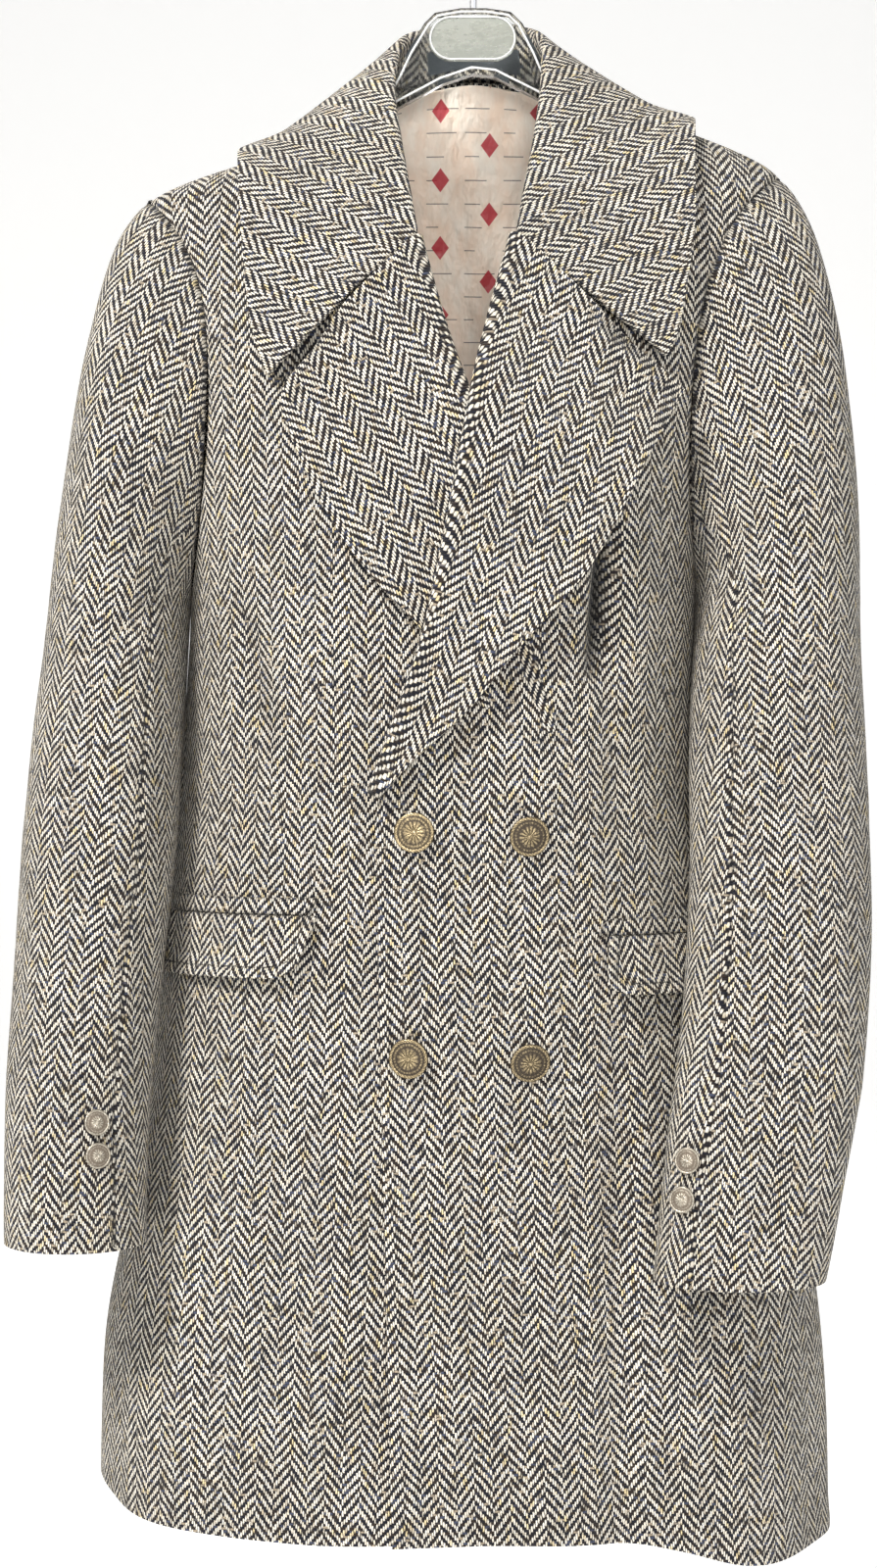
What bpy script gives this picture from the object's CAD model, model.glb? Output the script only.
import math

import bmesh
import bpy
import numpy as np
from mathutils import Matrix, Vector


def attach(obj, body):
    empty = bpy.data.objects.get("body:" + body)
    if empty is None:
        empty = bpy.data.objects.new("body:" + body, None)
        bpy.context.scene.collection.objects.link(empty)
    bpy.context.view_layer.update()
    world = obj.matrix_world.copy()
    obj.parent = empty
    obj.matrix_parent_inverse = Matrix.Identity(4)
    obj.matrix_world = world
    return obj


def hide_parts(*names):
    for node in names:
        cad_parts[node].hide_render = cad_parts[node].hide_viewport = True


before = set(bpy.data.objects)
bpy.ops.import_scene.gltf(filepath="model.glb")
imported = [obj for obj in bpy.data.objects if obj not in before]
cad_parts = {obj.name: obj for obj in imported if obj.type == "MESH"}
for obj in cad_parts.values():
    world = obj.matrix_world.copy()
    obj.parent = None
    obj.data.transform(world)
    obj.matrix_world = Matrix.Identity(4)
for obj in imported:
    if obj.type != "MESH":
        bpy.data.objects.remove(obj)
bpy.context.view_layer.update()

scene = bpy.context.scene
mm = 0.001

# the camera stands where the photograph was taken from; places in metres
camera = {"place": (-0.0231, -1.600, -0.590), "lens": 55.33, "sensor": 36.0}
lamps = {
    # name: (place, aims at, width, height, watts, colour)
    "windowLeft": ((-1.5, -1.9, 1.8), (0.0, 0.0, -0.55), 0.6, 0.6, 132, (1.0, 0.975, 0.94)),
    "front": ((0.1, -3.0, -0.1), (0.0, 0.0, -0.50), 0.8, 0.8, 42, (1.0, 0.98, 0.95)),
    "windowRight": ((2.3, -1.6, 0.45), (0.0, 0.0, -0.60), 1.6, 2.0, 18, (0.96, 0.98, 1.0)),
    "behind": ((-0.9, 2.6, 2.6), (0.0, 0.0, -0.45), 1.6, 1.6, 60, (1.0, 1.0, 1.0)),
}
room = {"floorBelow": -1.42, "wallBehind": 5.4, "halfWidth": 5.0, "front": 5.0, "height": 4.5, "cove": 1.0,
        "colour": (0.93, 0.93, 0.925, 1.0), "worldStrength": 0.22, "glow": 0.36}


def buildCamera():
    data = bpy.data.cameras.new("photoCamera")
    data.lens, data.sensor_width, data.clip_start, data.clip_end = camera["lens"], camera["sensor"], 0.05, 60
    cameraObject = bpy.data.objects.new("photoCamera", data)
    cameraObject.location = camera["place"]
    cameraObject.rotation_euler = (math.radians(90), 0, 0)
    scene.collection.objects.link(cameraObject)
    scene.camera = cameraObject


def buildLamps():
    for name, (place, target, width, height, watts, colour) in lamps.items():
        data = bpy.data.lights.new(name, "AREA")
        data.shape, data.size, data.size_y, data.energy, data.color = "RECTANGLE", width, height, watts, colour
        lamp = bpy.data.objects.new(name, data)
        lamp.location = place
        lamp.rotation_mode = "QUATERNION"
        lamp.rotation_quaternion = (Vector(target) - Vector(place)).to_track_quat("-Z", "Y")
        scene.collection.objects.link(lamp)
    world = bpy.data.worlds.new("paleRoom")
    world.use_nodes = True
    world.node_tree.nodes["Background"].inputs["Color"].default_value = (1, 1, 1, 1)
    seen = addNode(world.node_tree, "ShaderNodeLightPath").outputs["Is Camera Ray"]  # the backdrop stays white
    strength = spread(world.node_tree, seen, 0.0, 1.0, room["worldStrength"], 1.0)
    feed(world.node_tree, world.node_tree.nodes["Background"].inputs["Strength"], strength)
    scene.world = world
    scene.view_settings.view_transform = "Standard"  # plain contrast, as in the photograph


def buildFloor():
    bm = bmesh.new()
    bmesh.ops.create_grid(bm, x_segments=1, y_segments=1, size=1)
    bmesh.ops.scale(bm, vec=(room["halfWidth"], (room["front"] + room["wallBehind"]) / 2, 1), verts=bm.verts)
    bmesh.ops.translate(bm, vec=(0, (room["wallBehind"] - room["front"]) / 2, room["floorBelow"]), verts=bm.verts)
    backEdge = max(bm.edges, key=lambda e: min(v.co.y for v in e.verts))
    wall = bmesh.ops.extrude_edge_only(bm, edges=[backEdge])["geom"]
    wallTop = [part for part in wall if isinstance(part, bmesh.types.BMVert)]
    bmesh.ops.translate(bm, vec=(0, 0, room["height"]), verts=wallTop)
    fold = [e for e in bm.edges if len(e.link_faces) == 2]
    bmesh.ops.bevel(bm, geom=fold, offset=room["cove"], offset_type="OFFSET", segments=24, profile=0.5,
                    affect="EDGES", material=-1)
    mesh = bpy.data.meshes.new("paleFloor")
    bm.to_mesh(mesh)
    bm.free()
    mesh.shade_smooth()
    floor = bpy.data.objects.new("paleFloor", mesh)
    scene.collection.objects.link(floor)
    material = newMaterial("palePaper")
    shader = material.node_tree.nodes["Principled BSDF"]
    shader.inputs["Base Color"].default_value = room["colour"]
    shader.inputs["Roughness"].default_value = 0.95
    shader.inputs["Specular IOR Level"].default_value = 0.1
    shader.inputs["Emission Color"].default_value = room["colour"]
    shader.inputs["Emission Strength"].default_value = room["glow"]
    mesh.materials.append(material)


def newMaterial(name):
    material = bpy.data.materials.new(name)
    material.use_nodes = True
    return material


def addNode(tree, kind, links=(), **settings):
    node = tree.nodes.new(kind)
    for key, value in settings.items():
        setattr(node, key, value)
    for socket, source in dict(links).items():
        feed(tree, node.inputs[socket], source)
    return node


def feed(tree, socket, source):
    if isinstance(source, bpy.types.NodeSocket):
        tree.links.new(source, socket)
    else:
        socket.default_value = source


def maths(tree, operation, first, second=0.0, third=None):
    node = tree.nodes.new("ShaderNodeMath")
    node.operation = operation
    feed(tree, node.inputs[0], first)
    feed(tree, node.inputs[1], second)
    if third is not None:
        feed(tree, node.inputs[2], third)
    return node.outputs[0]


def spread(tree, value, low, high, toLow=0.0, toHigh=1.0):
    node = addNode(tree, "ShaderNodeMapRange", {"Value": value, "From Min": low, "From Max": high,
                                                "To Min": toLow, "To Max": toHigh})
    return node.outputs["Result"]


def mixColour(tree, factor, first, second, blend="MIX"):
    node = tree.nodes.new("ShaderNodeMix")
    node.data_type, node.blend_type = "RGBA", blend
    feed(tree, node.inputs[0], factor)
    feed(tree, node.inputs[6], first)
    feed(tree, node.inputs[7], second)
    return node.outputs[2]


def noiseAt(tree, vector, scale, detail=2.0, roughness=0.5, output="Fac"):
    node = addNode(tree, "ShaderNodeTexNoise", {"Vector": vector, "Scale": scale, "Detail": detail,
                                                "Roughness": roughness})
    return node.outputs[output]


def stretched(tree, vector, scale, offset=(0, 0, 0)):
    node = addNode(tree, "ShaderNodeMapping", {"Vector": vector})
    node.inputs["Scale"].default_value = scale
    node.inputs["Location"].default_value = offset
    return node.outputs["Vector"]


def randomAt(tree, x, y, z):
    cell = addNode(tree, "ShaderNodeCombineXYZ", {"X": x, "Y": y, "Z": z}).outputs[0]
    return addNode(tree, "ShaderNodeTexWhiteNoise", {"Vector": cell}, noise_dimensions="3D").outputs["Value"]


def bumpFrom(tree, shader, height, strength, distance):
    bump = addNode(tree, "ShaderNodeBump", {"Height": height, "Strength": strength, "Distance": distance})
    feed(tree, shader.inputs["Normal"], bump.outputs["Normal"])


def newGroup(name, inputs, outputs):
    tree = bpy.data.node_groups.new(name, "ShaderNodeTree")
    for socketName, kind, value in inputs:
        socket = tree.interface.new_socket(socketName, in_out="INPUT", socket_type=kind)
        if value is not None:
            socket.default_value = value
    for socketName, kind in outputs:
        tree.interface.new_socket(socketName, in_out="OUTPUT", socket_type=kind)
    return tree, tree.nodes.new("NodeGroupInput").outputs, tree.nodes.new("NodeGroupOutput").inputs


def useGroup(tree, group, links):
    node = tree.nodes.new("ShaderNodeGroup")
    node.node_tree = group
    for socket, source in links.items():
        feed(tree, node.inputs[socket], source)
    return node.outputs


# a broken 2/2 herringbone of ecru ends and dark picks
tweed = {
    "endSpacing": 1.36 * mm, "pickSpacing": 1.66 * mm, "reverseEvery": 8,
    "ecru": (0.88, 0.80, 0.66, 1), "cream": (0.97, 0.93, 0.84, 1), "straw": (0.86, 0.68, 0.32, 1),
    "oat": (0.50, 0.40, 0.27, 1), "ink": (0.008, 0.009, 0.018, 1), "bark": (0.030, 0.019, 0.014, 1),
    "slate": (0.055, 0.065, 0.11, 1),
    "roughness": 0.93, "sheen": 0.10, "sheenRoughness": 0.55, "bump": 0.85, "bumpDepth": 1.1 * mm,
    "turning": 0.9,
}


def buildHerringbone():
    tree, given, out = newGroup(
        "herringboneWeave",
        [("Vector", "NodeSocketVector", None), ("End Spacing", "NodeSocketFloat", tweed["endSpacing"]),
         ("Pick Spacing", "NodeSocketFloat", tweed["pickSpacing"]), ("Wander", "NodeSocketFloat", 0.35)],
        [("End On Top", "NodeSocketFloat"), ("Height", "NodeSocketFloat"), ("Gap", "NodeSocketFloat"),
         ("End Chance", "NodeSocketFloat"), ("Pick Chance", "NodeSocketFloat")])
    vector = given["Vector"]
    drift = noiseAt(tree, vector, 55, 1.5, 0.6, "Color")
    drift = addNode(tree, "ShaderNodeSeparateXYZ", {"Vector": drift}).outputs
    shake = noiseAt(tree, vector, 620, 1.0, 0.5, "Color")
    shake = addNode(tree, "ShaderNodeSeparateXYZ", {"Vector": shake}).outputs
    place = addNode(tree, "ShaderNodeSeparateXYZ", {"Vector": vector}).outputs

    def threadCount(axis, spacing):
        count = maths(tree, "DIVIDE", place[axis], spacing)
        wobble = maths(tree, "ADD", maths(tree, "MULTIPLY", maths(tree, "SUBTRACT", drift[axis], 0.5), 3.4),
                       maths(tree, "MULTIPLY", maths(tree, "SUBTRACT", shake[axis], 0.5), 1.5))
        return maths(tree, "ADD", count, maths(tree, "MULTIPLY", wobble, given["Wander"]))

    ends = threadCount("X", given["End Spacing"])
    picks = threadCount("Y", given["Pick Spacing"])
    turn = 2 * tweed["reverseEvery"]
    inRepeat = maths(tree, "FLOORED_MODULO", ends, turn)
    goingBack = maths(tree, "GREATER_THAN", inRepeat, tweed["reverseEvery"])
    mirrored = maths(tree, "SUBTRACT", turn, inRepeat)
    along = maths(tree, "ADD", maths(tree, "MULTIPLY", goingBack, mirrored),
                  maths(tree, "MULTIPLY", maths(tree, "SUBTRACT", 1, goingBack), inRepeat))
    stepOver = maths(tree, "MULTIPLY", goingBack, 2)
    endCell, pickCell = maths(tree, "FLOOR", along), maths(tree, "FLOOR", picks)

    def floatShape(movingOn, fixedCell, peak):
        phase = maths(tree, "ADD", maths(tree, "ADD", movingOn, fixedCell), stepOver)
        turnAngle = maths(tree, "MULTIPLY", maths(tree, "SUBTRACT", phase, peak), math.pi / 2)
        return maths(tree, "MULTIPLY_ADD", maths(tree, "COSINE", turnAngle), 0.5, 0.5)

    def roundness(count):
        across = maths(tree, "MULTIPLY_ADD", maths(tree, "FRACT", count), 2.0, -1.0)
        return maths(tree, "MAXIMUM", maths(tree, "SUBTRACT", 1.04, maths(tree, "POWER",
                     maths(tree, "ABSOLUTE", across), 2.6)), 0.0)

    def floatChance(fixedCell, movingOn, peak, salt):
        # one random number for each float, the stretch where a thread lies on top
        phase = maths(tree, "ADD", maths(tree, "ADD", movingOn, fixedCell), stepOver)
        number = maths(tree, "FLOOR", maths(tree, "MULTIPLY", maths(tree, "SUBTRACT", phase, peak - 2.0), 0.25))
        repeat = maths(tree, "FLOOR", maths(tree, "DIVIDE", ends, turn))
        return randomAt(tree, fixedCell, number, maths(tree, "ADD", maths(tree, "MULTIPLY", repeat, 7.0), salt))

    endPlump = maths(tree, "MULTIPLY_ADD", floatChance(endCell, picks, 1.0, 1.0), 0.55, 0.66)
    pickPlump = maths(tree, "MULTIPLY_ADD", floatChance(pickCell, along, 3.0, 2.0), 0.55, 0.80)
    swell = maths(tree, "MULTIPLY", maths(tree, "SUBTRACT", noiseAt(tree, vector, 150, 3.0, 0.65), 0.5), 1.25)
    endShape = maths(tree, "ADD", maths(tree, "MULTIPLY", maths(tree, "MULTIPLY", floatShape(picks, endCell, 1.0),
                                                                roundness(along)), endPlump), swell)
    pickShape = maths(tree, "MULTIPLY", floatShape(along, pickCell, 3.0), roundness(picks))
    pickShape = maths(tree, "MULTIPLY", pickShape, pickPlump)
    tree.links.new(spread(tree, maths(tree, "SUBTRACT", endShape, pickShape), -0.09, 0.09), out["End On Top"])
    top = maths(tree, "MAXIMUM", endShape, pickShape)
    fibre = maths(tree, "MULTIPLY", maths(tree, "SUBTRACT", noiseAt(tree, vector, 2600, 2.0, 0.7), 0.5), 0.45)
    tree.links.new(maths(tree, "ADD", top, fibre), out["Height"])
    tree.links.new(spread(tree, top, 0.32, 0.72, 1.0, 0.0), out["Gap"])

    def chance(cell, floatAlong, salt):
        return randomAt(tree, cell, maths(tree, "FLOOR", maths(tree, "MULTIPLY", floatAlong, 0.25)), salt)

    tree.links.new(chance(maths(tree, "FLOOR", ends), picks, 3.0), out["End Chance"])
    tree.links.new(chance(pickCell, ends, 11.0), out["Pick Chance"])
    return tree


def buildStitching():
    tree, given, out = newGroup(
        "edgeStitching",
        [("Vector", "NodeSocketVector", None), ("Edge", "NodeSocketFloat", 1.0), ("Seam", "NodeSocketFloat", 1.0),
         ("Stitch Distance", "NodeSocketFloat", 7.2 * mm), ("Stitch Depth", "NodeSocketFloat", 0.5)],
        [("Shade", "NodeSocketFloat"), ("Height", "NodeSocketFloat")])
    wander = maths(tree, "MULTIPLY", maths(tree, "SUBTRACT", noiseAt(tree, given["Vector"], 180, 2.0, 0.6), 0.5),
                   1.6 * mm)
    away = maths(tree, "SUBTRACT", maths(tree, "ADD", given["Edge"], wander), given["Stitch Distance"])
    near = maths(tree, "ABSOLUTE", away)
    line = spread(tree, near, 0.25 * mm, 0.75 * mm, 1.0, 0.0)
    broken = spread(tree, noiseAt(tree, given["Vector"], 330, 1.0, 0.5), 0.38, 0.52)
    thread = maths(tree, "MULTIPLY", maths(tree, "MULTIPLY", line, broken), given["Stitch Depth"])
    pulled = maths(tree, "MULTIPLY", spread(tree, near, 0.0, 2.6 * mm, 1.0, 0.0), given["Stitch Depth"])
    ditch = spread(tree, maths(tree, "ADD", given["Seam"], wander), 0.2 * mm, 2.2 * mm, 1.0, 0.0)
    dark = maths(tree, "ADD", maths(tree, "MULTIPLY", thread, 0.75), maths(tree, "MULTIPLY", pulled, 0.16))
    dark = maths(tree, "ADD", dark, maths(tree, "MULTIPLY", ditch, 0.5))
    rubbed = spread(tree, given["Edge"], 0.0, 2.6 * mm, 1.12, 1.0)
    tree.links.new(maths(tree, "MULTIPLY", rubbed, maths(tree, "SUBTRACT", 1.0, dark)), out["Shade"])
    turned = spread(tree, given["Edge"], 5.0 * mm, 8.5 * mm, 1.0, 0.0)
    height = maths(tree, "SUBTRACT", turned, maths(tree, "MULTIPLY", pulled, 1.1))
    tree.links.new(maths(tree, "SUBTRACT", height, maths(tree, "MULTIPLY", ditch, 1.0)), out["Height"])
    return tree


def buildTweed(name, weave, stitching, stitchAt=7.2 * mm, stitchDepth=0.35, tone=1.0):
    material = newMaterial(name)
    tree = material.node_tree
    shader = tree.nodes["Principled BSDF"]
    grain = addNode(tree, "ShaderNodeUVMap", uv_map="grain").outputs["UV"]
    threads = useGroup(tree, weave, {"Vector": grain, "End Spacing": tweed["endSpacing"],
                                     "Pick Spacing": tweed["pickSpacing"], "Wander": 0.38})
    # ends run from cream to straw, picks from ink to bark with slate and oat strays
    light = mixColour(tree, threads["End Chance"], tweed["ecru"], tweed["cream"])
    yellowed = spread(tree, noiseAt(tree, stretched(tree, grain, (1, 0.35, 1)), 210, 1.0), 0.60, 0.70)
    light = mixColour(tree, maths(tree, "MULTIPLY", yellowed, 0.75), light, tweed["straw"])
    tan = spread(tree, threads["End Chance"], 0.90, 0.93)
    light = mixColour(tree, maths(tree, "MULTIPLY", tan, 0.6), light, tweed["oat"])
    dark = mixColour(tree, spread(tree, threads["Pick Chance"], 0.35, 0.75), tweed["ink"], tweed["bark"])
    dark = mixColour(tree, spread(tree, threads["Pick Chance"], 0.86, 0.90), dark, tweed["slate"])
    dark = mixColour(tree, maths(tree, "MULTIPLY", spread(tree, threads["Pick Chance"], 0.965, 0.975), 0.7), dark,
                     tweed["oat"])
    colour = mixColour(tree, threads["End On Top"], dark, light)
    shade = maths(tree, "SUBTRACT", 1.0, maths(tree, "MULTIPLY", threads["Gap"], 0.88))
    fluff = spread(tree, noiseAt(tree, grain, 1500, 2.0, 0.6), 0.25, 0.75, 0.86, 1.10)
    patch = spread(tree, noiseAt(tree, grain, 13, 2.0, 0.55), 0.3, 0.7, 0.86 * tone, 1.08 * tone)
    tint = maths(tree, "MULTIPLY", maths(tree, "MULTIPLY", shade, fluff), patch)
    edge = addNode(tree, "ShaderNodeAttribute", attribute_name="edgeDistance").outputs["Fac"]
    seam = addNode(tree, "ShaderNodeAttribute", attribute_name="seamDistance").outputs["Fac"]
    sewing = useGroup(tree, stitching, {"Vector": grain, "Edge": edge, "Seam": seam,
                                        "Stitch Distance": stitchAt, "Stitch Depth": stitchDepth})
    tint = maths(tree, "MULTIPLY", tint, sewing["Shade"])
    fold = addNode(tree, "ShaderNodeAttribute", attribute_name="foldShade").outputs["Fac"]
    tint = maths(tree, "MULTIPLY", tint, spread(tree, fold, 0.0, 1.0, 1.0, 0.10))
    greys = addNode(tree, "ShaderNodeCombineColor", {"Red": tint, "Green": tint, "Blue": tint}).outputs["Color"]
    feed(tree, shader.inputs["Base Color"], mixColour(tree, 1.0, colour, greys, "MULTIPLY"))
    shader.inputs["Roughness"].default_value = tweed["roughness"]
    shader.inputs["Sheen Weight"].default_value = tweed["sheen"]
    shader.inputs["Sheen Roughness"].default_value = tweed["sheenRoughness"]
    shader.inputs["Specular IOR Level"].default_value = 0.18
    relief = maths(tree, "MULTIPLY_ADD", sewing["Height"], tweed["turning"], threads["Height"])
    bumpFrom(tree, shader, relief, tweed["bump"], tweed["bumpDepth"])
    return material


creases = {
    # where: rows of x, z at the crease's two ends, its half width and depth (mm, inwards is +)
    "front": [
        (84, -395, 90, -610, 15, 3.0), (112, -430, 104, -560, 10, -1.6), (88, -745, 92, -1075, 14, 4.5),
        (118, -800, 122, -1075, 16, -3.0), (52, -830, 56, -1075, 18, -1.6), (4, -790, 10, -1060, 20, 1.8),
        (-176, -745, -140, -835, 13, 2.4), (-120, -790, -128, -1050, 18, 1.8), (-90, -830, -92, -1050, 16, -1.6),
        (-160, -860, -168, -1040, 15, 2.2), (-128, -430, -150, -640, 12, 1.6), (-100, -500, -104, -650, 12, -1.2),
        (-70, -640, -150, -655, 10, 1.0), (60, -600, 150, -640, 10, 1.2), (30, -660, 92, -700, 12, 0.9),
        (-30, -650, -100, -745, 13, 0.9), (150, -640, 128, -730, 10, -1.4),
    ],
    # under the lapels' edges and the collar's points
    "underLapel": [(84, -425, 74, -520, 8, 11.0), (98, -430, 92, -560, 10, -3.0), (40, -560, 60, -548, 9, 3.0),
                   (-150, -470, -128, -560, 10, 2.6)],
    "underCollar": [(-128, -338, -84, -300, 8, 5.5), (74, -298, 112, -328, 8, 5.5)],
    "back": [
        (-60, -300, -96, -470, 18, 2.2), (70, -290, 104, -460, 17, 2.0), (-8, -180, 10, -250, 22, 1.2),
        (-120, -520, -60, -640, 16, 2.6), (118, -520, 56, -650, 16, 2.4), (-40, -600, 36, -622, 12, 1.4),
        (-70, -680, -86, -1050, 20, 2.6), (64, -700, 82, -1050, 18, -2.4), (132, -720, 150, -1050, 16, 2.6),
        (-136, -760, -156, -1040, 15, -2.0), (10, -780, 4, -1050, 18, 1.8),
    ],
    "sleeveLeft": [
        (150, -455, 212, -500, 13, 2.6), (160, -500, 240, -470, 10, -1.4), (150, -560, 226, -610, 15, 2.8),
        (168, -640, 240, -600, 12, -1.6), (140, -680, 214, -725, 14, 2.0), (214, -330, 232, -470, 14, 1.6),
        (196, -250, 186, -330, 12, 1.2), (150, -770, 226, -790, 12, 1.3), (232, -640, 236, -760, 11, 1.4),
        (176, -820, 180, -885, 14, 1.5),
    ],
    "sleeveRight": [
        (-195, -470, -250, -512, 13, 2.6), (-206, -520, -272, -492, 10, -1.4), (-200, -580, -268, -632, 15, 2.8),
        (-214, -655, -284, -622, 12, -1.6), (-212, -700, -276, -748, 13, 2.2), (-246, -330, -266, -450, 14, 1.6),
        (-222, -260, -214, -340, 12, 1.2), (-216, -790, -280, -808, 12, 1.2), (-286, -650, -288, -760, 11, 1.4),
        (-252, -800, -254, -872, 14, 1.4),
    ],
}


hollows = {"front": ("underCollar", "underLapel"), "lapel": ("underCollar",)}
deepFold = 9  # mm, where a hollow is at its darkest
# where a sleeve's inner side rests on the body: middle and half height, how far it swells (mm)
sleeveRests = {"sleeveLeft": (-560, 95, 4.5), "sleeveRight": (-590, 150, 5.0)}


def creaseDepth(x, z, rows):
    depth = np.zeros_like(x)
    for x0, z0, x1, z1, half, deep in rows:
        dx, dz = x1 - x0, z1 - z0
        along = np.clip(((x - x0) * dx + (z - z0) * dz) / (dx * dx + dz * dz), 0, 1)
        away = ((x - x0 - along * dx) ** 2 + (z - z0 - along * dz) ** 2) / half ** 2
        depth += deep * (1 - 0.55 * away) * np.exp(-away) * (0.45 + 0.55 * np.sin(math.pi * along))
    return depth


def settleCloth(points, normals, where):
    # one field moves all the layers of the body alike, so none cuts through the next
    x, y, z = points[:, 0] / mm, points[:, 1] / mm, points[:, 2] / mm
    facing = -normals[:, 1] if where != "lining" else normals[:, 1]
    lift = 1.0 * np.sin(x / 43 + 1.3 * np.sin(z / 97)) * np.sin(z / 61 + 0.6)
    lift += 0.55 * np.sin(x / 17 + z / 53 + 0.4 * np.sin(y / 23)) * np.sin(z / 29 - x / 83 + 2.0)
    if where in ("sleeveLeft", "sleeveRight"):
        lift -= creaseDepth(x, z, creases[where]) * np.clip(-normals[:, 1] * 1.5 + 0.35, 0, 1)
        back = [(row[0], row[1] - 26, row[2], row[3] - 20, *row[4:]) for row in creases[where]]
        lift -= creaseDepth(x, z, back) * np.clip(normals[:, 1] * 1.5 - 0.2, 0, 1)
        lift += 2.6 * np.clip((z + 340) / 110, 0, 1)  # the crown stands over the shoulder's end
        inner = normals[:, 0] if where == "sleeveRight" else -normals[:, 0]
        middle, half, push = sleeveRests[where]
        lift += push * np.clip(inner * 1.6, 0, 1) * np.exp(-((z - middle) / half) ** 2)
    elif where != "still":
        lift -= creaseDepth(x, z, creases["front"]) * np.clip(facing * 2, 0, 1)
        lift -= creaseDepth(x, z, creases["back"]) * np.clip(-facing * 2, 0, 1)
        for hollow in hollows.get(where, ()):
            lift -= creaseDepth(x, z, creases[hollow]) * np.clip(facing * 2, 0, 1)
    if where == "lining":
        # it lies on the back's inner face, so it follows the back and its own crumples only stand off it
        crumple = 1.1 * (1 + np.sin(x / 23 + 0.8 * np.sin(z / 47)) * np.sin(z / 71))
        crumple += 0.8 * (1 + np.sin(x / 9 + z / 31) * np.sin(z / 19 - x / 37))
        pleat = np.exp(-((x - 8 - z * 0.008) / 4.0) ** 2)
        lift = -lift + 0.8 + (crumple + 1.6 * pleat) * np.clip((-112 - z) / 30, 0, 1)
    return points + normals * (lift * mm)[:, None]


def easeOut(value, low, high):
    t = np.clip((value - low) / (high - low), 0, 1)
    return 1 - t * t * (3 - 2 * t)


def boundaryOf(mesh):
    # outline edges as start, end, outward direction, and which way is outward on the pattern
    uses = {}
    for polygon in mesh.polygons:
        for key in polygon.edge_keys:
            uses.setdefault(key, []).append(polygon.index)
    co = np.array([v.co for v in mesh.vertices])
    layer = mesh.uv_layers["grain"].uv
    start, end, outward, patternOut, solidOut = [], [], [], {}, {}
    for (a, b), faces in uses.items():
        if len(faces) != 1:
            continue
        polygon = mesh.polygons[faces[0]]
        away = (co[a] + co[b]) / 2 - np.array(polygon.center)
        line = co[b] - co[a]
        away -= line * (away @ line) / max(line @ line, 1e-12)
        start.append(co[a]), end.append(co[b]), outward.append(away / max(np.linalg.norm(away), 1e-9))
        flat = {mesh.loops[i].vertex_index: np.array(layer[i].vector) for i in polygon.loop_indices}
        across = (flat[a] + flat[b]) / 2 - sum(flat.values()) / len(flat)
        stretch = flat[b] - flat[a]
        across -= stretch * (across @ stretch) / max(stretch @ stretch, 1e-12)
        across /= max(np.linalg.norm(across), 1e-9)
        for vertex in (a, b):
            patternOut[vertex] = patternOut.get(vertex, 0) + across
            solidOut[vertex] = solidOut.get(vertex, 0) + outward[-1]
    return np.array(start), np.array(end), np.array(outward), patternOut, solidOut


def distanceTo(points, start, end):
    if not len(start):
        return np.full(len(points), 1.0)
    nearest = np.full(len(points), 1.0)
    for a, b in zip(start, end):
        line = b - a
        along = np.clip((points - a) @ line / max(line @ line, 1e-12), 0, 1)
        nearest = np.minimum(nearest, np.linalg.norm(points - a - along[:, None] * line, axis=1))
    return nearest


def keepField(mesh, name, values):
    field = mesh.attributes.new(name, "FLOAT", "POINT")
    field.data.foreach_set("value", values.astype(np.float32))


def outerFace(node, facing, bendLimit):
    bm = bmesh.new()
    bm.from_mesh(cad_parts[node].data)
    bmesh.ops.remove_doubles(bm, verts=bm.verts, dist=0.02 * mm)
    bmesh.ops.join_triangles(bm, faces=bm.faces, cmp_seam=False, cmp_sharp=False, cmp_uvs=False, cmp_vcols=False,
                             cmp_materials=False, angle_face_threshold=math.radians(60),
                             angle_shape_threshold=math.radians(120))
    bm.faces.ensure_lookup_table()
    bm.normal_update()
    group, groups = {}, []
    for seed in bm.faces:
        if seed.index in group:
            continue
        members, waiting = [], [seed]
        group[seed.index] = len(groups)
        while waiting:
            face = waiting.pop()
            members.append(face)
            for edge in face.edges:
                if len(edge.link_faces) != 2 or edge.calc_face_angle(math.pi) > math.radians(bendLimit):
                    continue
                for other in edge.link_faces:
                    if other.index not in group:
                        group[other.index] = len(groups)
                        waiting.append(other)
        groups.append(members)
    groups.sort(key=lambda members: -sum(f.calc_area() for f in members))
    if facing:
        aim = Vector(facing)
        groups[:2] = sorted(groups[:2], key=lambda members: -sum(
            (f.normal * f.calc_area()).dot(aim) for f in members))
    keep = set(groups[0])
    bmesh.ops.delete(bm, geom=[f for f in bm.faces if f not in keep], context="FACES")
    return bm


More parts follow.
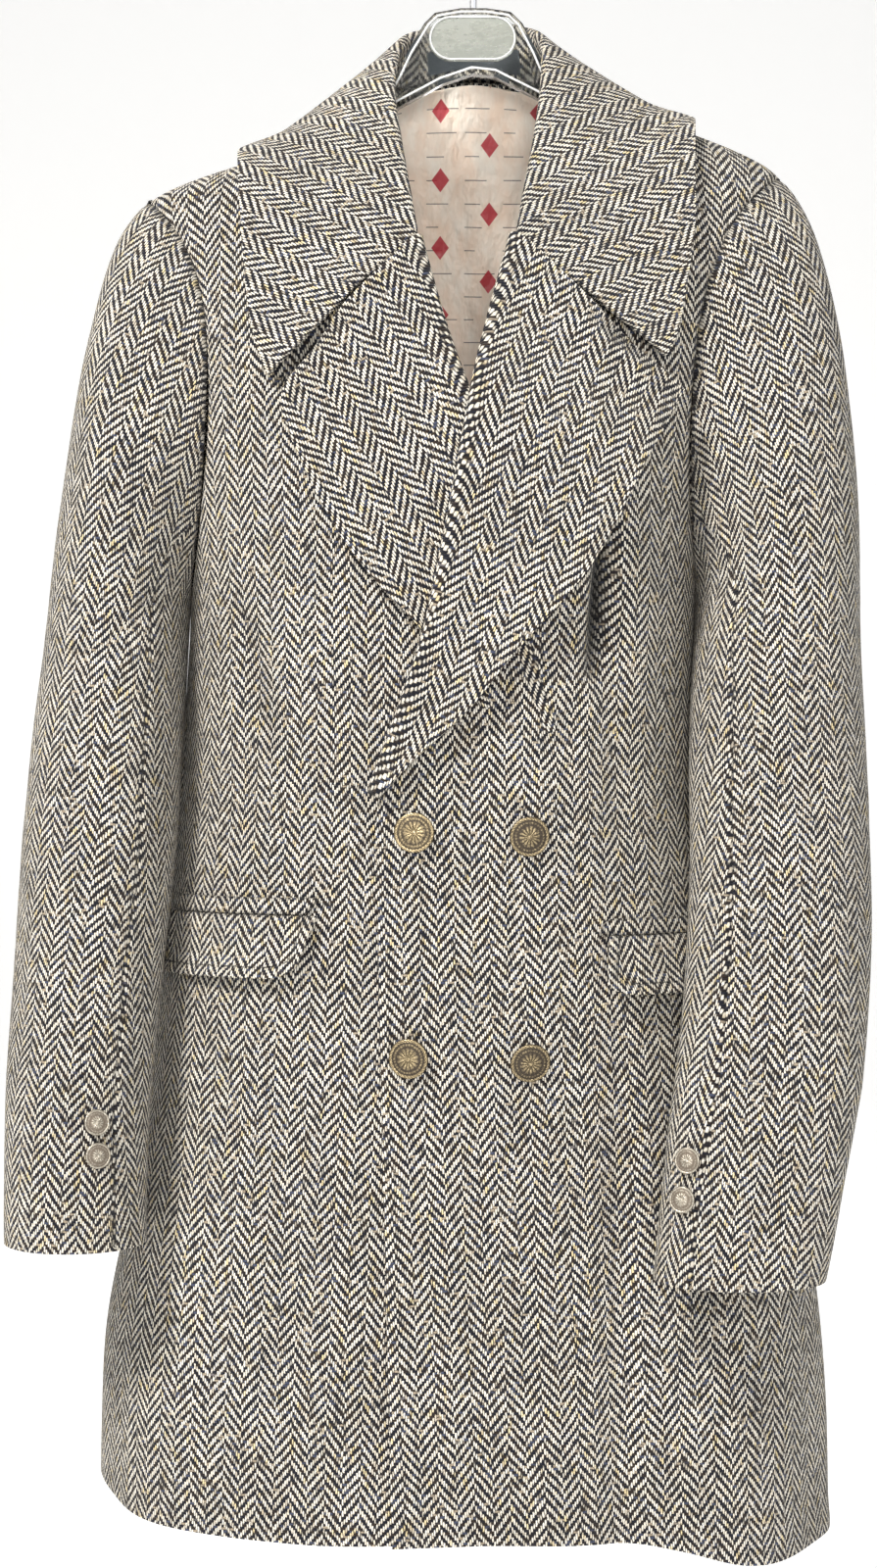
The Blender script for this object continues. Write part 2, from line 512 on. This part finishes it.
def grainCoordinates(mesh, down, across):
    # turns the unwrapped pattern so that the cloth's warp runs the way the piece was cut, at real size
    layer = mesh.uv_layers["grain"]
    uv = np.zeros(len(mesh.loops) * 2)
    layer.uv.foreach_get("vector", uv)
    uv = uv.reshape(-1, 2)
    corners = np.array([[p.loop_indices[0], p.loop_indices[1], p.loop_indices[2]] for p in mesh.polygons])
    loopVertex = np.array([loop.vertex_index for loop in mesh.loops])
    co = np.array([v.co for v in mesh.vertices])
    p0, p1, p2 = (co[loopVertex[corners[:, k]]] for k in range(3))
    q0, q1, q2 = (uv[corners[:, k]] for k in range(3))
    e1, e2, f1, f2 = p1 - p0, p2 - p0, q1 - q0, q2 - q0
    area3 = np.linalg.norm(np.cross(e1, e2), axis=1)
    area2 = f1[:, 0] * f2[:, 1] - f1[:, 1] * f2[:, 0]
    size = math.sqrt(area3.sum() / np.abs(area2).sum())
    good = np.abs(area2) > 1e-12
    # where the piece's downward direction points on the pattern
    aim = np.array(down, float)
    g11, g12, g22 = (e1 * e1).sum(1), (e1 * e2).sum(1), (e2 * e2).sum(1)
    b1, b2 = e1 @ aim, e2 @ aim
    det = g11 * g22 - g12 * g12
    good &= det > 1e-18
    a = (g22 * b1 - g12 * b2)[good] / det[good]
    b = (g11 * b2 - g12 * b1)[good] / det[good]
    heading = ((a[:, None] * f1[good] + b[:, None] * f2[good]) * area3[good][:, None]).sum(0)
    turn = -math.pi / 2 - math.atan2(heading[1], heading[0])
    spinning = np.array([[math.cos(turn), -math.sin(turn)], [math.sin(turn), math.cos(turn)]])
    uv = (uv @ spinning.T) * size
    if np.sum(area2) < 0:
        uv[:, 0] *= -1
    middle = np.array([uv[:, 0].mean(), uv[:, 1].mean()])
    uv += np.array(across) - middle
    layer.uv.foreach_set("vector", uv.ravel())


def unwrapGrain(clothObject):
    bpy.ops.object.select_all(action="DESELECT")
    bpy.context.view_layer.objects.active = clothObject
    clothObject.select_set(True)
    clothObject.data.uv_layers.new(name="grain")
    bpy.ops.object.mode_set(mode="EDIT")
    bpy.ops.mesh.select_all(action="SELECT")
    bpy.ops.uv.unwrap(method="ANGLE_BASED", margin=0.0)
    bpy.ops.object.mode_set(mode="OBJECT")
    clothObject.select_set(False)


def applied(source):
    graph = bpy.context.evaluated_depsgraph_get()
    mesh = bpy.data.meshes.new_from_object(source.evaluated_get(graph))
    source.modifiers.clear()
    source.data = mesh
    return mesh


def makeCloth(name, node, cut, material):
    bm = outerFace(node, cut["facing"], cut["bendLimit"])
    mesh = bpy.data.meshes.new(name)
    bm.to_mesh(mesh)
    bm.free()
    cloth = bpy.data.objects.new(name, mesh)
    scene.collection.objects.link(cloth)
    unwrapGrain(cloth)
    grainCoordinates(mesh, cut["down"], cut["across"])
    finer = cloth.modifiers.new("finer", "SUBSURF")
    finer.levels = finer.render_levels = cut["levels"]
    finer.boundary_smooth = finer.uv_smooth = "PRESERVE_CORNERS"
    mesh = applied(cloth)
    mesh.name = name
    count = len(mesh.vertices)
    points, normals = np.zeros(count * 3), np.zeros(count * 3)
    mesh.vertices.foreach_get("co", points)
    mesh.vertex_normals.foreach_get("vector", normals)
    points, normals = points.reshape(-1, 3), normals.reshape(-1, 3)
    start, end, outward, patternOut, solidOut = boundaryOf(mesh)
    free = cut["free"]((start + end) / 2 / mm, outward) if "free" in cut else np.zeros(len(start), bool)
    toEdge, toSeam = distanceTo(points, start[free], end[free]), distanceTo(points, start[~free], end[~free])
    keepField(mesh, "edgeDistance", toEdge)
    keepField(mesh, "seamDistance", toSeam)
    sunk = sum((creases[hollow] for hollow in hollows.get(cut["moves"], ())), [])
    depth = creaseDepth(points[:, 0] / mm, points[:, 2] / mm, sunk)
    keepField(mesh, "foldShade", np.clip(depth / deepFold, 0, 1) * (normals[:, 1] < 0))
    area = sum(p.area for p in mesh.polygons)
    rise, reach = cut["lift"]
    points = settleCloth(points, normals, cut["moves"])
    points += normals * (rise * mm * easeOut(toEdge, 0, reach * mm) - cut["pucker"] * mm
                         * easeOut(toSeam, 0, 5 * mm))[:, None]
    for vertex, away in solidOut.items():  # a seam's edge goes in under its neighbour
        if toSeam[vertex] < 0.01 * mm < toEdge[vertex] and "tuck" in cut:
            points[vertex] += (away / max(np.linalg.norm(away), 1e-9) * cut["tuck"] - normals[vertex] * 0.4) * mm
    mesh.vertices.foreach_set("co", points.ravel())
    mesh.update()
    wall = cloth.modifiers.new("wall", "SOLIDIFY")
    wall.thickness, wall.offset, wall.use_even_offset, wall.material_offset_rim = cut["wall"] * mm, -1, False, 1
    mesh.materials.clear()
    mesh.materials.append(material)
    mesh.materials.append(material)
    mesh = applied(cloth)
    # the pattern goes on round the edge instead of being drawn out over it
    layer = mesh.uv_layers["grain"].uv
    for polygon in mesh.polygons:
        if polygon.material_index:
            polygon.material_index = 0
            for i in polygon.loop_indices:
                vertex = mesh.loops[i].vertex_index
                if vertex >= count:
                    way = patternOut.get(vertex - count, np.zeros(2))
                    way = way / max(np.linalg.norm(way), 1e-9)
                    layer[i].vector = np.array(layer[i].vector) + way * cut["wall"] * mm
    mesh.materials.pop(index=1)
    mesh.name = name
    mesh.shade_smooth()
    edges = cloth.modifiers.new("softEdges", "BEVEL")
    edges.width, edges.segments, edges.limit_method = cut["edge"] * mm, 3, "ANGLE"
    edges.angle_limit, edges.harden_normals = math.radians(50), False
    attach(cloth, "root")
    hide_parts(node)
    print(f"cloth {name}: {len(mesh.polygons)} faces, area {area:.4f} m2, flat {cut['area']}")


def downEdge(at, out):
    return out[:, 2] < -0.6


# what a row of cuts has where it says nothing else
plainCut = {"wall": 2.6, "down": (0, 0, -1), "across": (0, 0), "facing": None, "bendLimit": 66.0, "levels": 3,
            "lift": (0, 10), "moves": "body", "pucker": 0.5, "edge": 1.1, "slot": "tweed",
            "restsOn": "hanger_body"}
leftSleeve = {"free": downEdge, "moves": "sleeveLeft", "restsOn": "front_left", "tuck": 2.0}
rightSleeve = dict(leftSleeve, moves="sleeveRight", restsOn="front_right", down=(-0.17, 0, -1))
cuts = {
    # piece: its solid, wall (mm), which way the warp runs down it, its flat cut and area (m, m2), how far its
    # free edges stand off (mm, over how many mm), and which of its outline edges are free
    "frontLeft": {"node": "front_left", "flat": (0.36, 0.95), "area": 0.235,
                  "free": lambda at, out: ((out[:, 2] < -0.6) | (out[:, 0] < -0.6)) & (at[:, 2] < -602),
                  "lift": (0.9, 22), "moves": "front"},
    "frontRight": {"node": "front_right", "flat": (0.38, 0.93), "area": 0.249,
                   "free": downEdge, "moves": "front"},
    "backLeft": {"node": "back_left", "flat": (0.31, 0.97), "area": 0.208,
                 "free": downEdge},
    "backRight": {"node": "back_right", "flat": (0.32, 0.95), "area": 0.226,
                  "free": downEdge},
    "sleeveLeftTop": dict(leftSleeve, node="sleeve_left_top", flat=(0.31, 0.73), area=0.170),
    "sleeveLeftUnder": dict(leftSleeve, node="sleeve_left_under", flat=(0.14, 0.53), area=0.051),
    "sleeveRightTop": dict(rightSleeve, node="sleeve_right_top", flat=(0.29, 0.70), area=0.155),
    "sleeveRightUnder": dict(rightSleeve, node="sleeve_right_under", flat=(0.14, 0.51), area=0.052),
    "lapelLeft": {"node": "lapel_left", "wall": 4.2, "down": (-0.40, 0, -1), "flat": (0.165, 0.37), "area": 0.029,
                  "facing": (0, -1, 0), "edge": 1.7, "lift": (6.0, 34), "restsOn": "front_left", "moves": "lapel",
                  "free": lambda at, out: (out[:, 0] > -0.3) & (at[:, 0] > -56)},
    "lapelRight": {"node": "lapel_right", "wall": 4.2, "down": (0.60, 0, -1), "flat": (0.17, 0.37),
                   "area": 0.0285, "facing": (0, -1, 0), "edge": 1.7, "lift": (5.0, 34),
                   "restsOn": "front_right", "moves": "lapel",
                   "free": lambda at, out: (out[:, 0] < 0.3) & (at[:, 2] > -540)},
    "collarFall": {"node": "collar", "wall": 4.0, "down": (0, 1, 0), "flat": (0.68, 0.26), "area": 0.083,
               "facing": (0, -1, 0.5), "edge": 1.7, "lift": (4.6, 34), "restsOn": "back_left",
               "free": lambda at, out: (np.abs(at[:, 0]) > 78) | (at[:, 1] > 62)},
    "flapLeft": {"node": "flap_left", "wall": 2.2, "flat": (0.13, 0.041), "area": 0.0047,
                 "facing": (0, -1, 0), "lift": (3.4, 16), "restsOn": "front_left",
                 "free": lambda at, out: out[:, 2] < 0.6},
    "flapRight": {"node": "flap_right", "wall": 2.2, "flat": (0.14, 0.043), "area": 0.0053,
                  "facing": (0, -1, 0), "lift": (3.4, 16), "restsOn": "front_right",
                  "free": lambda at, out: out[:, 2] < 0.6},
    "weltLeft": {"node": "welt_left", "wall": 2.2, "flat": (0.122, 0.012), "area": 0.0012,
                 "facing": (0, -1, 0), "restsOn": "front_left", "edge": 0.6, "pucker": 0},
    "weltRight": {"node": "welt_right", "wall": 2.2, "flat": (0.137, 0.012), "area": 0.0014,
                  "facing": (0, -1, 0), "restsOn": "front_right", "edge": 0.6, "pucker": 0},
    "liningBack": {"node": "lining_back", "wall": 1.2, "flat": (0.55, 0.95), "area": 0.385,
                   "facing": (0, -1, 0), "edge": 0.4, "slot": "lining", "moves": "lining",
                   "restsOn": "back_left"},
    "neckLabel": {"node": "neck_label", "wall": 0.8, "flat": (0.073, 0.0155), "area": 0.0011,
                  "facing": (0, -1, 0), "edge": 0.2, "moves": "still", "slot": "label", "restsOn": "collar",
                  "pucker": 0, "levels": 2},
}


lining = {
    "champagne": (0.96, 0.76, 0.61, 1), "highlight": (0.99, 0.90, 0.79, 1), "rust": (0.50, 0.012, 0.035, 1),
    "charcoal": (0.05, 0.035, 0.045, 1), "repeatAcross": 33 * mm, "repeatDown": 45 * mm, "diamondHalf": 6.2 * mm,
    "lineEvery": 15.5 * mm, "lineHalf": 0.42 * mm, "dash": 26 * mm, "roughness": 0.42, "sheen": 0.25,
}


def buildSatin():
    material = newMaterial("liningSatin")
    tree = material.node_tree
    shader = tree.nodes["Principled BSDF"]
    grain = addNode(tree, "ShaderNodeUVMap", uv_map="grain").outputs["UV"]
    place = addNode(tree, "ShaderNodeSeparateXYZ", {"Vector": grain}).outputs
    across = maths(tree, "DIVIDE", place["X"], lining["repeatAcross"])
    halfDrop = maths(tree, "MULTIPLY", maths(tree, "FLOORED_MODULO", maths(tree, "FLOOR", across), 2.0), 0.5)
    down = maths(tree, "ADD", maths(tree, "DIVIDE", place["Y"], lining["repeatDown"]), halfDrop)

    def fromMiddle(count, size):
        offset = maths(tree, "ABSOLUTE", maths(tree, "SUBTRACT", maths(tree, "FRACT", count), 0.5))
        return maths(tree, "MULTIPLY", offset, size)

    reach = maths(tree, "ADD", fromMiddle(across, lining["repeatAcross"]),
                  maths(tree, "MULTIPLY", fromMiddle(down, lining["repeatDown"]), 0.75))
    diamond = spread(tree, reach, lining["diamondHalf"], lining["diamondHalf"] - 0.4 * mm)
    rows = maths(tree, "DIVIDE", place["Y"], lining["lineEvery"])
    stroke = spread(tree, fromMiddle(rows, lining["lineEvery"]), lining["lineHalf"], lining["lineHalf"] * 0.5)
    strokes = maths(tree, "DIVIDE", place["X"], lining["dash"])
    length = randomAt(tree, maths(tree, "FLOOR", strokes), maths(tree, "FLOOR", rows), 5.0)
    part = maths(tree, "FRACT", strokes)
    dashes = maths(tree, "LESS_THAN", part, maths(tree, "MULTIPLY_ADD", length, 0.6, 0.25))
    dashes = maths(tree, "MULTIPLY", dashes, stroke)
    cloud = noiseAt(tree, stretched(tree, grain, (1, 0.4, 1)), 60, 3.0, 0.6)
    colour = mixColour(tree, spread(tree, cloud, 0.35, 0.65), lining["champagne"], lining["highlight"])
    colour = mixColour(tree, maths(tree, "MULTIPLY", dashes, 0.85), colour, lining["charcoal"])
    colour = mixColour(tree, maths(tree, "MULTIPLY", diamond, 0.94), colour, lining["rust"])
    feed(tree, shader.inputs["Base Color"], colour)
    feed(tree, shader.inputs["Roughness"], spread(tree, cloud, 0.3, 0.7, lining["roughness"] - 0.08,
                                                  lining["roughness"] + 0.10))
    shader.inputs["Sheen Weight"].default_value = lining["sheen"]
    threads = noiseAt(tree, stretched(tree, grain, (1, 0.08, 1)), 5200, 1.0)
    crumple = noiseAt(tree, stretched(tree, grain, (1, 0.55, 1)), 75, 3.0, 0.55)
    height = maths(tree, "ADD", maths(tree, "MULTIPLY", threads, 0.02), crumple)
    bumpFrom(tree, shader, height, 0.9, 5.5 * mm)
    return material


label = {"slate": (0.030, 0.038, 0.046, 1), "lift": (0.070, 0.085, 0.095, 1), "ribs": 900.0}


def buildLabelCloth():
    material = newMaterial("labelCloth")
    tree = material.node_tree
    shader = tree.nodes["Principled BSDF"]
    grain = addNode(tree, "ShaderNodeUVMap", uv_map="grain").outputs["UV"]
    place = addNode(tree, "ShaderNodeSeparateXYZ", {"Vector": grain}).outputs
    ribs = maths(tree, "SINE", maths(tree, "MULTIPLY", place["Y"], label["ribs"] * 2 * math.pi))
    fleck = noiseAt(tree, grain, 900, 2.0, 0.6)
    mask = maths(tree, "MULTIPLY", spread(tree, ribs, -1, 1, 0.3, 1.0), fleck)
    feed(tree, shader.inputs["Base Color"], mixColour(tree, mask, label["slate"], label["lift"]))
    feed(tree, shader.inputs["Roughness"], spread(tree, fleck, 0.3, 0.7, 0.55, 0.75))
    bumpFrom(tree, shader, ribs, 0.35, 0.2 * mm)
    return material


plastic = {"ior": 1.49, "scratches": 420.0, "slot": "clear_plastic"}
plastics = {
    # material: tint, roughness, transmission
    "hangerPlastic": ((0.93, 0.95, 0.95, 1), 0.10, 1.0),
    "badgePlastic": ((0.50, 0.52, 0.47, 1), 0.30, 0.55),
    "rimPlastic": ((0.97, 0.98, 0.98, 1), 0.16, 0.45),
}


def buildClearPlastic(name, tint, roughness, transmission):
    material = newMaterial(name)
    tree = material.node_tree
    shader = tree.nodes["Principled BSDF"]
    place = addNode(tree, "ShaderNodeTexCoord").outputs["Object"]
    scuff = noiseAt(tree, stretched(tree, place, (0.25, 1, 1)), plastic["scratches"], 3.0, 0.7)
    haze = noiseAt(tree, place, 22, 2.0, 0.6)
    feed(tree, shader.inputs["Roughness"], spread(tree, maths(tree, "ADD", scuff, haze), 0.85, 1.35,
                                                  roughness * 0.6, roughness * 2.4))
    feed(tree, shader.inputs["Base Color"], mixColour(tree, spread(tree, haze, 0.35, 0.7), tint,
                                                      [c * 0.93 for c in tint[:3]] + [1]))
    shader.inputs["Transmission Weight"].default_value = transmission
    shader.inputs["IOR"].default_value = plastic["ior"]
    bumpFrom(tree, shader, haze, 0.12, 1.5 * mm)
    return material


rims = {
    # piece: the solid it is moulded on, how wide it is, how far it stands forward and its rounding, in mm
    "hangerRim": {"node": "hanger_body", "width": 1.5, "rise": 1.0, "round": 0.4},
    "badgeRim": {"node": "hanger_badge", "width": 1.2, "rise": 0.9, "round": 0.4},
}


def makeRim(name, rim, material):
    bm = outerFace(rim["node"], (0, -1, 0), 20.0)
    bmesh.ops.dissolve_faces(bm, faces=bm.faces, use_verts=False)
    front = min(v.co.y for v in bm.verts)
    ring = bmesh.ops.inset_region(bm, faces=bm.faces, thickness=rim["width"] * mm, depth=0, use_boundary=True,
                                  use_even_offset=True)["faces"]
    bmesh.ops.delete(bm, geom=[f for f in bm.faces if f not in set(ring)], context="FACES")
    bmesh.ops.solidify(bm, geom=bm.faces, thickness=rim["rise"] * mm)
    bmesh.ops.translate(bm, vec=(0, front - 0.03 * mm - max(v.co.y for v in bm.verts), 0), verts=bm.verts)
    bmesh.ops.recalc_face_normals(bm, faces=bm.faces)
    sharp = [e for e in bm.edges if len(e.link_faces) == 2 and e.calc_face_angle(0) > math.radians(60)]
    bmesh.ops.bevel(bm, geom=sharp, offset=rim["round"] * mm, offset_type="OFFSET", segments=2, profile=0.5,
                    affect="EDGES", material=-1, clamp_overlap=True)
    mesh = bpy.data.meshes.new(name)
    bm.to_mesh(mesh)
    bm.free()
    mesh.shade_smooth()
    mesh.materials.append(material)
    piece = bpy.data.objects.new(name, mesh)
    scene.collection.objects.link(piece)
    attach(piece, "root")
    print(f"rim {name}: {len(mesh.polygons)} faces")


def buildSteel():
    material = newMaterial("hookSteel")
    tree = material.node_tree
    shader = tree.nodes["Principled BSDF"]
    place = addNode(tree, "ShaderNodeTexCoord").outputs["Object"]
    drawn = noiseAt(tree, stretched(tree, place, (1, 1, 0.15)), 900, 2.0, 0.6)
    dull = noiseAt(tree, place, 60, 3.0, 0.6)
    feed(tree, shader.inputs["Base Color"], mixColour(tree, dull, (0.72, 0.73, 0.75, 1), (0.50, 0.50, 0.51, 1)))
    feed(tree, shader.inputs["Roughness"], spread(tree, dull, 0.3, 0.7, 0.16, 0.34))
    shader.inputs["Metallic"].default_value = 1.0
    bumpFrom(tree, shader, drawn, 0.1, 0.1 * mm)
    return material


# pressed metal discs with a rope rim, a ring of beads and a plain rosette, in mm
brassButton = {
    "radius": 12.4, "rimFrom": 10.4, "ropeTurns": 34, "ropeHeight": 0.32, "beadRing": 8.7, "beads": 30,
    "beadHeight": 0.42, "petals": 14, "petalReach": 7.4, "petalHeight": 0.50, "boss": 1.5, "steps": 168,
    # the disc's section from its middle out and round to its back: radius, height
    "section": [(0.0, 4.2), (2.0, 4.15), (4.0, 4.05), (6.6, 3.85), (7.8, 3.65), (9.6, 3.35), (10.2, 3.15),
                (10.6, 3.35), (11.3, 3.6), (12.0, 3.3), (12.4, 2.5), (12.2, 1.7), (11.4, 1.2), (8.0, 0.8),
                (3.2, 0.6), (2.6, 0.0), (0.0, 0.0)],
}
cuffButton = dict(brassButton, radius=8.0, rimFrom=6.7, ropeTurns=26, ropeHeight=0.22, beadRing=5.6, beads=22,
                  beadHeight=0.24, petalReach=4.3, boss=1.2, steps=96, flatter=0.86)
cuffButton["section"] = [(r * cuffButton["radius"] / brassButton["radius"], h * cuffButton["flatter"])
                         for r, h in brassButton["section"]]
buttons = {
    # piece: CAD node, design, slot, turn of its pattern in degrees, how dark it has aged
    "buttonFront1": ("button_front_1", brassButton, "brass", 8, 0.30),
    "buttonFront2": ("button_front_2", brassButton, "brass", 31, 0.72),
    "buttonFront3": ("button_front_3", brassButton, "brass", -12, 0.55),
    "buttonFront4": ("button_front_4", brassButton, "brass", 17, 0.78),
    "buttonCuffLeft1": ("button_cuff_left_1", cuffButton, "antique_brass", 4, 0.35),
    "buttonCuffLeft2": ("button_cuff_left_2", cuffButton, "antique_brass", -20, 0.25),
    "buttonCuffRight1": ("button_cuff_right_1", cuffButton, "antique_brass", 26, 0.30),
    "buttonCuffRight2": ("button_cuff_right_2", cuffButton, "antique_brass", 11, 0.40),
}
metals = {
    # slot: bright, dull, patina
    "brass": ((0.74, 0.60, 0.36, 1), (0.38, 0.29, 0.16, 1), (0.050, 0.038, 0.026, 1)),
    "antique_brass": ((0.74, 0.70, 0.60, 1), (0.46, 0.41, 0.33, 1), (0.16, 0.13, 0.10, 1)),
}


def buildButtonMetal(name, slotName, aged):
    bright, dull, patina = metals[slotName]
    material = newMaterial(name)
    tree = material.node_tree
    shader = tree.nodes["Principled BSDF"]
    place = addNode(tree, "ShaderNodeTexCoord").outputs["Object"]
    relief = addNode(tree, "ShaderNodeAttribute", attribute_name="relief").outputs["Fac"]
    smear = noiseAt(tree, place, 900, 4.0, 0.7)
    rubbed = spread(tree, maths(tree, "ADD", relief, maths(tree, "MULTIPLY", smear, 0.9)), 0.66 + aged * 0.34,
                    1.34 + aged * 0.32)
    metal = mixColour(tree, spread(tree, smear, 0.35, 0.65), dull, bright)
    feed(tree, shader.inputs["Base Color"], mixColour(tree, rubbed, patina, metal))
    feed(tree, shader.inputs["Roughness"], spread(tree, rubbed, 0.0, 1.0, 0.62, 0.30))
    feed(tree, shader.inputs["Metallic"], spread(tree, rubbed, 0.0, 0.6, 0.55, 1.0))
    bumpFrom(tree, shader, noiseAt(tree, place, 2600, 3.0, 0.7), 0.25, 0.12 * mm)
    return material


def buttonSeat(node):
    points = np.array([v.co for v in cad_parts[node].data.vertices])
    middle = (points.min(0) + points.max(0)) / 2
    axis = np.linalg.svd(points - points.mean(0), full_matrices=False)[2][2]
    axis = axis if axis[1] < 0 else -axis
    heights = (points - middle) @ axis
    return Vector(middle), Vector(axis), heights.min(), heights.max()


def reliefAt(design, radius, angle):
    if radius > design["rimFrom"]:
        return design["ropeHeight"] * math.cos(design["ropeTurns"] * angle + radius * 5) * 0.5
    bead = math.exp(-((radius - design["beadRing"]) / (0.055 * design["radius"])) ** 2)
    lift = design["beadHeight"] * bead * (0.35 + 0.65 * abs(math.cos(design["beads"] / 2 * angle)))
    out = radius / design["petalReach"]
    if out < 1:
        petal = abs(math.cos(design["petals"] / 2 * angle)) ** 0.7 * math.sin(math.pi * min(out * 1.02, 1)) ** 0.6
        vein = 1 - 0.45 * math.exp(-(math.sin(design["petals"] / 2 * angle + math.pi / 2) / 0.12) ** 2)
        lift += design["petalHeight"] * petal * vein
    boss = radius / design["boss"]
    return max(lift, design["petalHeight"] * 1.1 * math.sqrt(max(0, 1 - boss * boss))) if boss < 1 else lift


def makeButton(name, node, design, slotName, turn, aged):
    bm = bmesh.new()
    rings = []
    for (r0, h0), (r1, h1) in zip(design["section"], design["section"][1:]):
        onFace = h0 > 2.4 and h1 > 1.92  # the back needs no rings for relief
        parts = max(1, round(abs(r1 - r0) / 0.55)) if onFace else 1
        rings += [(r0 + (r1 - r0) * k / parts, h0 + (h1 - h0) * k / parts) for k in range(parts)]
    rings.append(design["section"][-1])
    profile = [bm.verts.new((radius * mm, 0, height * mm)) for radius, height in rings]
    spine = [bm.edges.new(pair) for pair in zip(profile, profile[1:])]
    bmesh.ops.spin(bm, geom=profile + spine, cent=(0, 0, 0), axis=(0, 0, 1), dvec=(0, 0, 0), angle=2 * math.pi,
                   steps=design["steps"], use_merge=True)
    bmesh.ops.remove_doubles(bm, verts=bm.verts, dist=0.005 * mm)
    bmesh.ops.recalc_face_normals(bm, faces=bm.faces)
    relief = bm.verts.layers.float.new("relief")
    top = max(height for _, height in design["section"])
    for vertex in bm.verts:
        radius, angle = math.hypot(vertex.co.x, vertex.co.y) / mm, math.atan2(vertex.co.y, vertex.co.x)
        if vertex.co.z / mm > top * 0.68:
            lift = reliefAt(design, radius, angle)
            vertex.co.z += lift * mm
            onRim = radius > design["rimFrom"]
            raised = 0.5 + lift / design["ropeHeight"] if onRim else lift / design["petalHeight"]
            vertex[relief] = min(1.0, max(0.0, (0.45 if onRim else 0.28) + 0.55 * raised))
        else:
            vertex[relief] = 0.35
    middle, axis, low, high = buttonSeat(node)
    spot = middle + axis * (high - (top + 0.25) * mm)
    turned = axis.to_track_quat("Z", "Y").to_matrix().to_4x4()
    turned.translation = spot
    bmesh.ops.rotate(bm, cent=(0, 0, 0), verts=bm.verts, matrix=Matrix.Rotation(math.radians(turn), 3, "Z"))
    bmesh.ops.transform(bm, matrix=turned, verts=bm.verts)
    mesh = bpy.data.meshes.new(name)
    bm.to_mesh(mesh)
    bm.free()
    mesh.shade_smooth()
    mesh.materials.append(buildButtonMetal(name + "Metal", slotName, aged))
    button = bpy.data.objects.new(name, mesh)
    scene.collection.objects.link(button)
    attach(button, "root")
    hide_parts(node)
    print(f"button {name}: {len(mesh.polygons)} faces, stands {(high - low) / mm:.1f} mm")


buildCamera()
buildLamps()
buildFloor()
print("camera, lamps and floor")

weave, stitching = buildHerringbone(), buildStitching()
tweedCloth = buildTweed("tweedCloth", weave, stitching)
flapTweed = buildTweed("flapTweed", weave, stitching, 7.0 * mm, 1.0, 1.04)
clothMaterials = {"liningBack": buildSatin(), "neckLabel": buildLabelCloth(), "flapLeft": flapTweed,
                  "flapRight": flapTweed}
print("materials")

for pieceName, cut in cuts.items():
    makeCloth(pieceName, cut["node"], {**plainCut, **cut}, clothMaterials.get(pieceName, tweedCloth))

for pieceName, row in buttons.items():
    makeButton(pieceName, *row)

for node, material in {
    "hanger_body": buildClearPlastic("hangerPlastic", *plastics["hangerPlastic"]),
    "hanger_badge": buildClearPlastic("badgePlastic", *plastics["badgePlastic"]),
    "hanger_hook": buildSteel(),
}.items():
    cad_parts[node].data.materials.clear()
    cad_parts[node].data.materials.append(material)
rimPlastic = buildClearPlastic("rimPlastic", *plastics["rimPlastic"])
for pieceName, rim in rims.items():
    makeRim(pieceName, rim, rimPlastic)
print("hanger")
